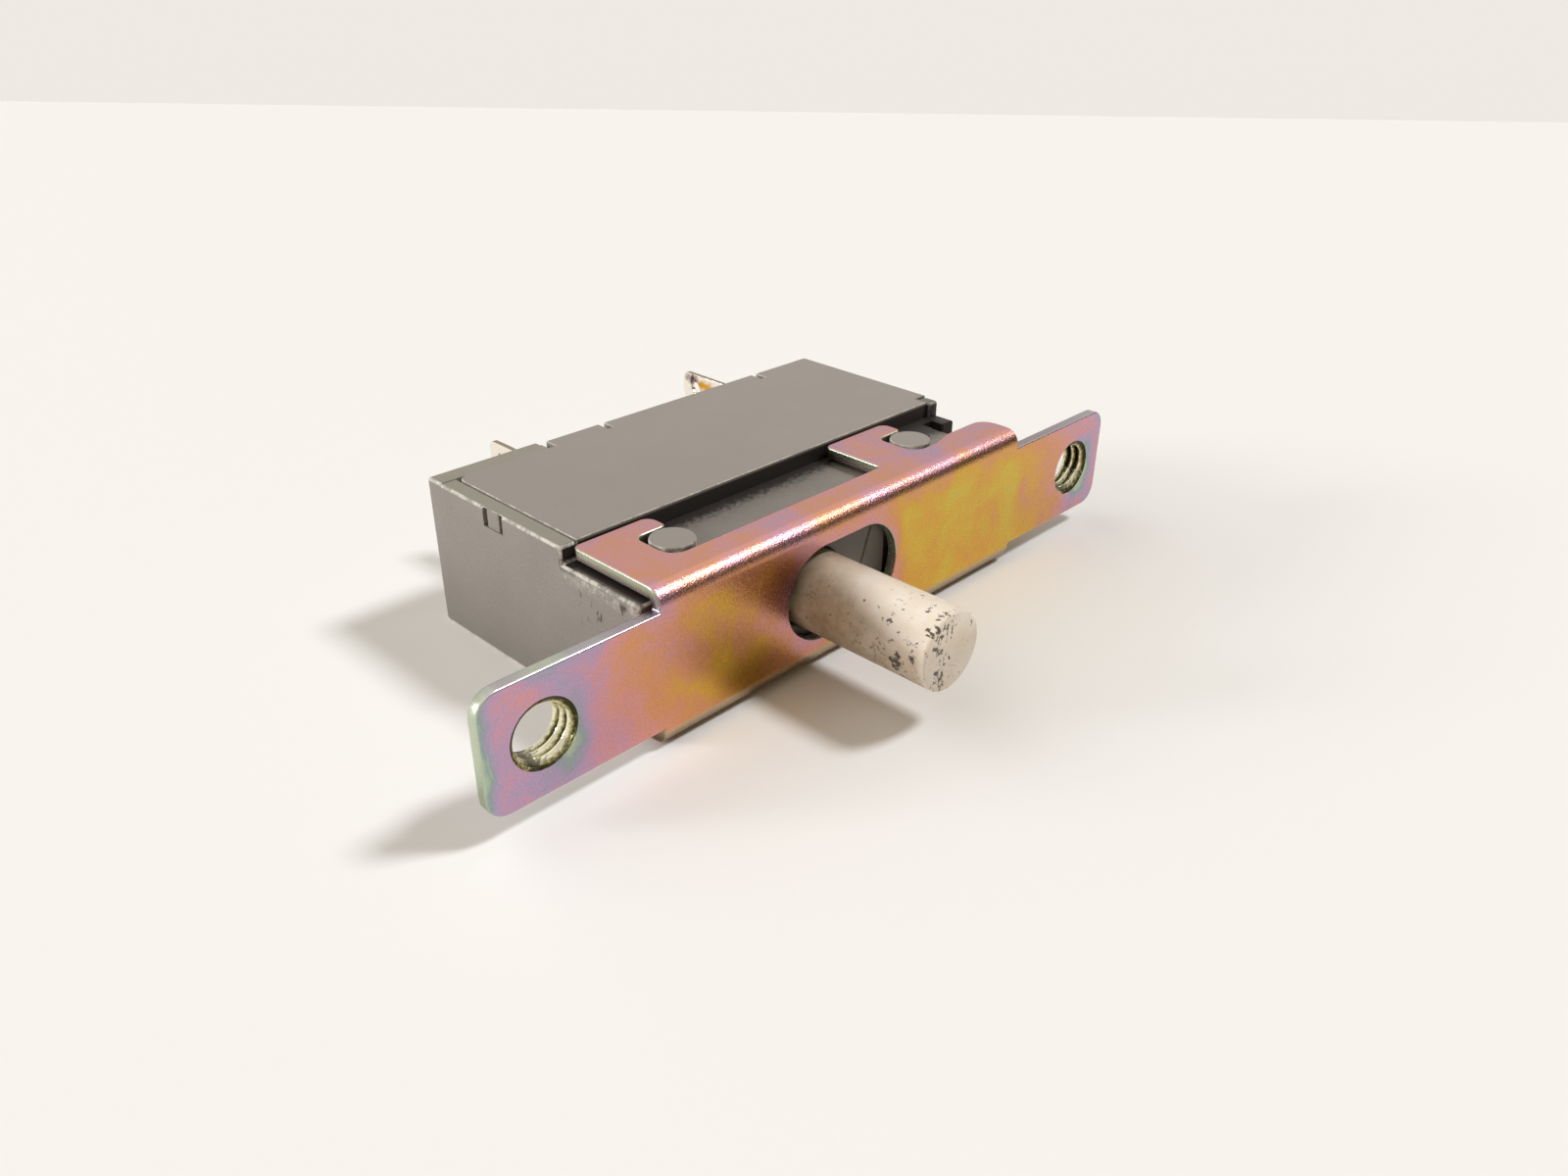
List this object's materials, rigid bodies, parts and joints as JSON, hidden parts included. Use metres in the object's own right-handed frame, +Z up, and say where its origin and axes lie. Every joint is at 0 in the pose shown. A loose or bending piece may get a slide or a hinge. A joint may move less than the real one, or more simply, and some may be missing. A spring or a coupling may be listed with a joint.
{
  "type": "plunger limit switch",
  "caption": "Small plunger-type limit switch: a grey two-part plastic case with blade terminals, clamped in a plated steel bracket with hooked flanges and two tapped ears.",
  "frame": {"origin": "middle of the base of the overall box, on the surface that the switch stands on", "axes": "+X along the bracket, +Y from the plunger's tip back to the terminals, +Z up"},
  "size_m": [0.07, 0.049, 0.013],
  "materials": {
    "plated_steel": "1 mm steel sheet with an iridescent yellow chromate over zinc",
    "case_plastic": "warm grey moulded plastic, fine matt texture",
    "cover_plastic": "warm grey moulded plastic, fine matt texture",
    "plunger_plastic": "white acetal, worn and specked with dirt at the tip",
    "spring_steel": "drawn spring wire",
    "bridge_brass": "rolled brass strip",
    "terminal_brass": "brass strip with a bright, slightly tarnished tin plate",
    "contact_silver": "solid silver contact rivets"
  },
  "bodies": {
    "switch_body": {"mounting_bracket": "plated_steel", "switch_case": "case_plastic", "case_cover": "cover_plastic", "terminal_left": "terminal_brass", "terminal_right": "terminal_brass", "fixed_contact_left": "contact_silver", "fixed_contact_right": "contact_silver", "return_spring": "spring_steel"},
    "plunger": {"plunger": "plunger_plastic", "stem_clip": "spring_steel", "contact_spring": "spring_steel"},
    "contact_bridge": {"contact_bridge": "bridge_brass", "moving_contact_left": "contact_silver", "moving_contact_right": "contact_silver"}
  },
  "joints": [
    {"name": "plunger_slide", "type": "slide", "parent": "switch_body", "child": "plunger", "axis": [0, 1, 0], "range_m": [0, 0.005], "stiffness_N_per_m": 450, "springref_m": -0.003, "deforming": ["return_spring", "contact_spring"]},
    {"name": "bridge_slide", "type": "slide", "parent": "switch_body", "child": "contact_bridge", "axis": [0, 1, 0], "range_m": [0, 0.003]}
  ],
  "couplings": [
    {"joint": "bridge_slide", "follows": "plunger_slide", "ratio": 0.6}
  ]
}
